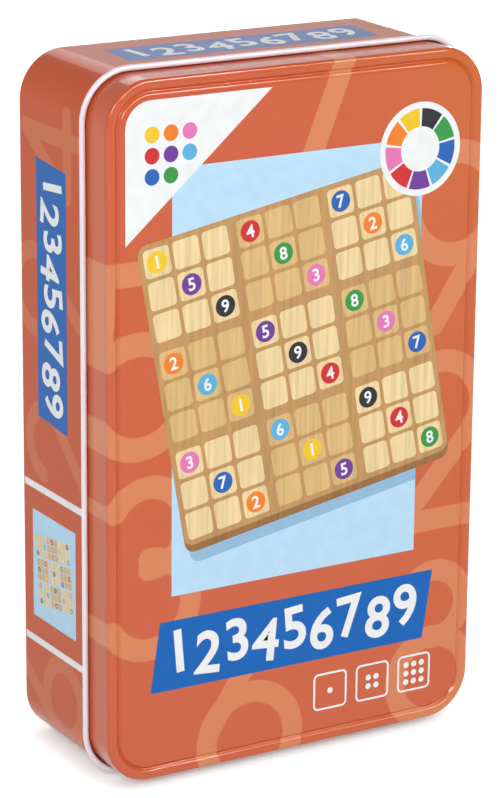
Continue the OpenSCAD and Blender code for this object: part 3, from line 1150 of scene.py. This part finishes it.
# Lamps: name, place, width and height in metres, watts, whether for highlights only, slant in degrees
LAMPS = [
    ("key", (-0.82, -1.0, 0.7), (0.25, 0.5), 8.4, False, 0),
    ("strip", (0.75, -0.95, 0.85), (0.05, 0.8), 4.5, False, 0),
    ("back", (0.75, 1.25, MID_Z), (1.0, 0.15), 6, False, 0),
    ("front_highlight", (0.33, -1.05, 0.73), (0.1, 1.0), 17, True, -46),
    ("top_highlight", (0.45, 1.2, 0.85), (0.6, 0.6), 1.8, True, 0),
]
# Camera: sensor and focal length in millimetres, place in metres, yaw, pitch and roll in degrees
CAMERA_SENSOR = 36.0
CAMERA_LENS = 149.514
CAMERA_PLACE = (-0.45219, -0.75462, 0.3618)
CAMERA_TURN = (-30.8997, -16.7309, -0.5075)


def floor_material():
    """Plain white. The camera sees it a little brighter than it is lit, so that it reads white, and
    darker where it meets the object."""
    graph = Graph("floor_white")
    graph.finish(graph.mix(graph.cloud(scale=3, detail=2), FLOOR_DEEP, FLOOR_PALE), 0.9,
                 Specular_IOR_Level=0.0)
    seen = graph.node("ShaderNodeLightPath").outputs
    share = graph.math("MAXIMUM", seen["Is Camera Ray"], seen["Is Glossy Ray"])
    share = graph.math("MAXIMUM", share, seen["Is Transmission Ray"])
    x, y, _ = graph.split(graph.place())
    glow = graph.fit(length(graph, x, y), *FLOOR_GLOW_REACH, *FLOOR_GLOW)
    shadow = graph.node("ShaderNodeAmbientOcclusion")
    shadow.inputs["Distance"].default_value = FLOOR_SHADOW_REACH
    glow = graph.math("MULTIPLY", glow, graph.blend(shadow.outputs["AO"], FLOOR_SHADOW_GLOW, 1))
    graph.put(graph.shader.inputs["Emission Strength"], graph.math("MULTIPLY", share, glow))
    graph.shader.inputs["Emission Color"].default_value = FLOOR_GLOW_COLOUR
    return graph.owner


def make_floor():
    """The floor. The tin leans back from its curl to its back edge, so the floor slopes to meet both."""
    mesh = bmesh.new()
    slope = CURL_OUT / (RIM - FOLD_R)
    corners = box_outline(FLOOR_SIDE, FLOOR_SIDE)
    mesh.faces.new([mesh.verts.new((x, y, slope * (y - BACK_Y + RIM))) for x, y in corners])
    floor = make_piece("floor", mesh, [floor_material()])


def make_world():
    """A pale studio all round, brighter at the horizon than overhead."""
    graph = Graph("studio", bpy.data.worlds, "Background")
    up = graph.split(graph.node("ShaderNodeTexCoord").outputs["Generated"])[2]
    graph.put(graph.shader.inputs["Color"], (1, 1, 1, 1))
    graph.put(graph.shader.inputs["Strength"], graph.fit(up, 0, 1, HORIZON_LIGHT, ZENITH_LIGHT))
    bpy.context.scene.world = graph.owner


def make_lamp(name, place, size, power, highlight_only, slant):
    """A soft lamp that faces the middle of the tin, slanting by some degrees from upright.
    One for highlights shows in glossy surfaces and lights nothing."""
    light = bpy.data.lights.new(name, "AREA")
    light.shape = "RECTANGLE"
    light.size, light.size_y = size
    light.energy = power
    lamp = bpy.data.objects.new(name, light)
    lamp.location = place
    lamp.rotation_mode = "QUATERNION"
    facing = (Vector((0, 0, MID_Z)) - Vector(place)).to_track_quat("-Z", "Y")
    lamp.rotation_quaternion = facing @ Quaternion((0, 0, 1), math.radians(slant))
    lamp.visible_camera = False
    lamp.visible_diffuse = not highlight_only
    bpy.context.scene.collection.objects.link(lamp)


def make_camera():
    """The camera where the photograph was taken from, fitted to the tin's edges."""
    data = bpy.data.cameras.new("camera")
    data.sensor_width = CAMERA_SENSOR
    data.lens = CAMERA_LENS
    camera = bpy.data.objects.new("camera", data)
    yaw, pitch, roll = (math.radians(angle) for angle in CAMERA_TURN)
    turn = (Matrix.Rotation(yaw, 4, "Z") @ Matrix.Rotation(pitch, 4, "X") @ Matrix.Rotation(roll, 4, "Y")
            @ Matrix.Rotation(math.pi / 2, 4, "X"))
    camera.matrix_world = Matrix.Translation(CAMERA_PLACE) @ turn
    bpy.context.scene.collection.objects.link(camera)
    bpy.context.scene.camera = camera


def make_stage():
    """The floor, the light and the camera."""
    make_floor()
    make_world()
    for lamp in LAMPS:
        make_lamp(*lamp)
    make_camera()
    bpy.context.scene.view_settings.view_transform = "Standard"


make_object()
make_stage()
